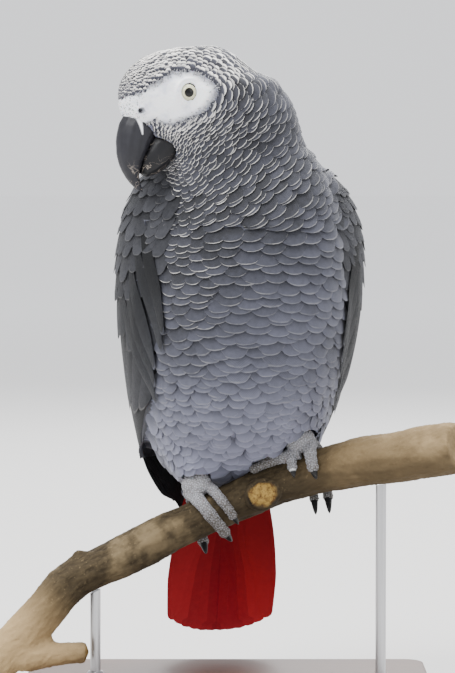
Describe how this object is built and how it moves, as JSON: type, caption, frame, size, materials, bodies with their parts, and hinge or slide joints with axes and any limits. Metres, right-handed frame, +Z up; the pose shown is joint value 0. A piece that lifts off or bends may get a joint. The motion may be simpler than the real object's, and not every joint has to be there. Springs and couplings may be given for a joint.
{
  "type": "perched grey parrot",
  "caption": "Life-size still model of a grey parrot with a red tail, looking over one shoulder, gripping a short cut branch that slim rods hold above a flat base.",
  "frame": {"origin": "centre of the underside of the stand's base", "axes": "+Z up; the chest faces about -Y, turned some 10 degrees towards +X; the bird's left side is +X"},
  "size_m": [0.2436, 0.1638, 0.3278],
  "materials": {
    "grey_coat": "soft overlapping feathers, slate grey with paler rims",
    "flight_grey": "smooth stiff feathers, dark slate grey",
    "red_tail": "smooth stiff feathers, crimson",
    "horn_black": "dull polished black horn",
    "foot_skin": "dry scaly skin, powdery grey",
    "eye": "wet, pale straw iris round a black pupil",
    "bark": "rough weathered bark with a pale cut knot",
    "stand_wood": "dark stained, satin",
    "stand_steel": "satin steel rod"
  },
  "bodies": {
    "root": {"head": "grey_coat", "neck": "grey_coat", "trunk": "grey_coat", "wing_left": "flight_grey", "wing_right": "flight_grey", "tail": "red_tail", "leg_left": "foot_skin", "leg_right": "foot_skin", "bill_upper": "horn_black", "bill_lower": "horn_black", "eye_left": "eye", "eye_right": "eye", "perch_branch": "bark", "stand_base": "stand_wood", "stand_rod_left": "stand_steel", "stand_rod_right": "stand_steel", "claw_left_front_outer": "horn_black", "claw_left_front_inner": "horn_black", "claw_left_rear_outer": "horn_black", "claw_left_rear_inner": "horn_black", "claw_right_front_outer": "horn_black", "claw_right_front_inner": "horn_black", "claw_right_rear_outer": "horn_black", "claw_right_rear_inner": "horn_black"}
  },
  "joints": []
}
